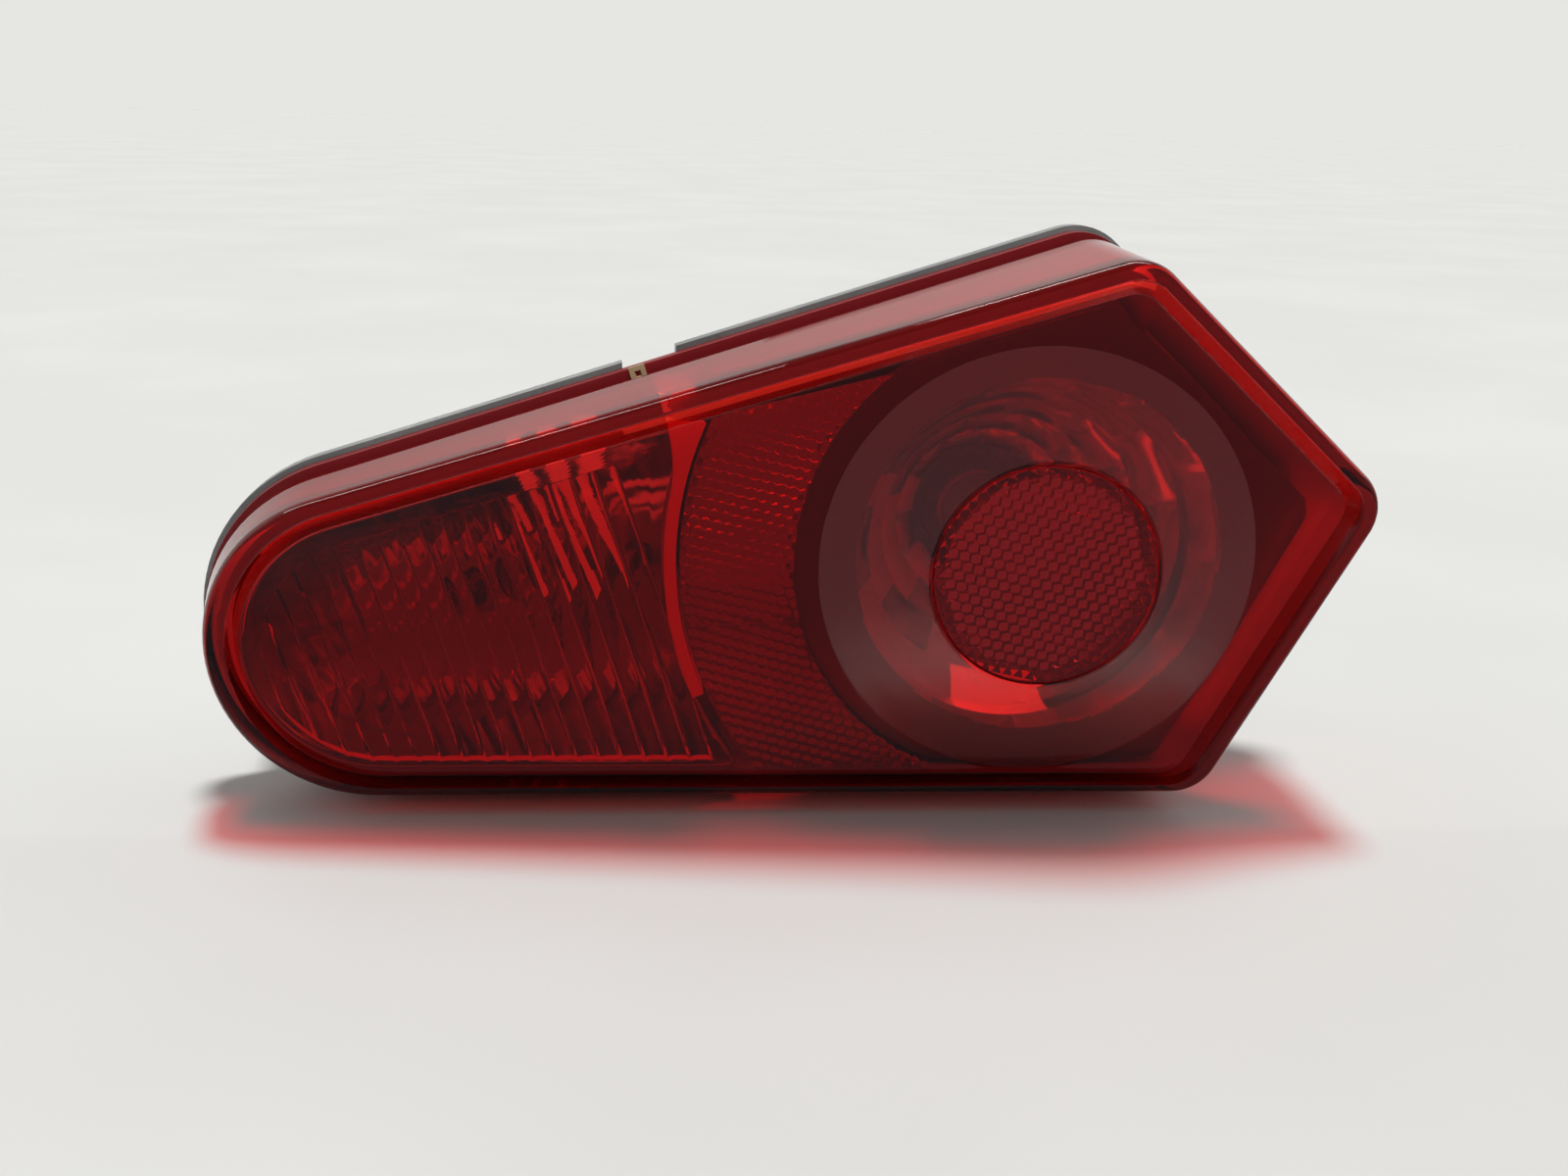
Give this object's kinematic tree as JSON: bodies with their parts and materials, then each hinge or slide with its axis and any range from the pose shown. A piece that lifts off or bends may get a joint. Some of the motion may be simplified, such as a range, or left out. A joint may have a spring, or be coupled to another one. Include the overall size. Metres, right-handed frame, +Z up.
{
  "type": "vehicle tail light",
  "caption": "Slanted teardrop rear lamp with a red lens, round brake dome, reflex crescent, fluted tail window, black housing and twist-lock bulb sockets.",
  "frame": {"origin": "midway between the two mounting studs, on the plane of their pads", "axes": "+X along the lamp towards the brake end, +Y backwards along the studs into the vehicle, +Z up"},
  "size_m": [0.2415, 0.0862, 0.1187],
  "materials": {
    "red_lens": "clear red, polished, lightly scuffed",
    "red_reflex": "clear red with moulded corner cells behind",
    "sealant": "cured butyl bead",
    "black_plastic": "moulded, fine satin",
    "metallised_plastic": "vacuum metallised, bright",
    "zinc_steel": "zinc plated",
    "membrane": "woven breather membrane",
    "socket_plastic": "moulded nylon",
    "seal_rubber": "moulded rubber",
    "brass": "stamped, lightly tarnished",
    "bulb_base_plastic": "moulded",
    "bulb_glass": "clear",
    "filament_wire": "drawn wire"
  },
  "bodies": {
    "lamp": {"lens": "red_lens", "reflex_disc": "red_reflex", "reflex_crescent": "red_reflex", "lens_seal": "sealant", "housing": "black_plastic", "brake_reflector": "metallised_plastic", "tail_reflector": "metallised_plastic", "reflector_screws": "zinc_steel", "mounting_studs": "zinc_steel", "vent_cap": "socket_plastic", "vent_filter": "membrane"},
    "brake_holder": {"brake_socket": "socket_plastic", "brake_socket_seal": "seal_rubber", "brake_terminals": "brass"},
    "brake_bulb": {"brake_bulb_glass": "bulb_glass", "brake_bulb_base": "bulb_base_plastic", "brake_bulb_filament": "filament_wire"},
    "tail_holder": {"tail_socket": "socket_plastic", "tail_socket_seal": "seal_rubber", "tail_terminals": "brass"},
    "tail_bulb": {"tail_bulb_glass": "bulb_glass", "tail_bulb_filament": "filament_wire"}
  },
  "joints": [
    {"name": "brake_socket_turn", "type": "hinge", "parent": "lamp", "child": "brake_holder", "pos_m": [0.053, 0, 0.017], "axis": [0, 1, 0], "range_deg": [0, 45]},
    {"name": "brake_bulb_pull", "type": "slide", "parent": "brake_holder", "child": "brake_bulb", "axis": [0, -1, 0], "range_m": [0, 0.008]},
    {"name": "tail_socket_turn", "type": "hinge", "parent": "lamp", "child": "tail_holder", "pos_m": [-0.062, 0, 0.004], "axis": [0, 1, 0], "range_deg": [0, 45]},
    {"name": "tail_bulb_pull", "type": "slide", "parent": "tail_holder", "child": "tail_bulb", "axis": [0, -1, 0], "range_m": [0, 0.007]}
  ]
}
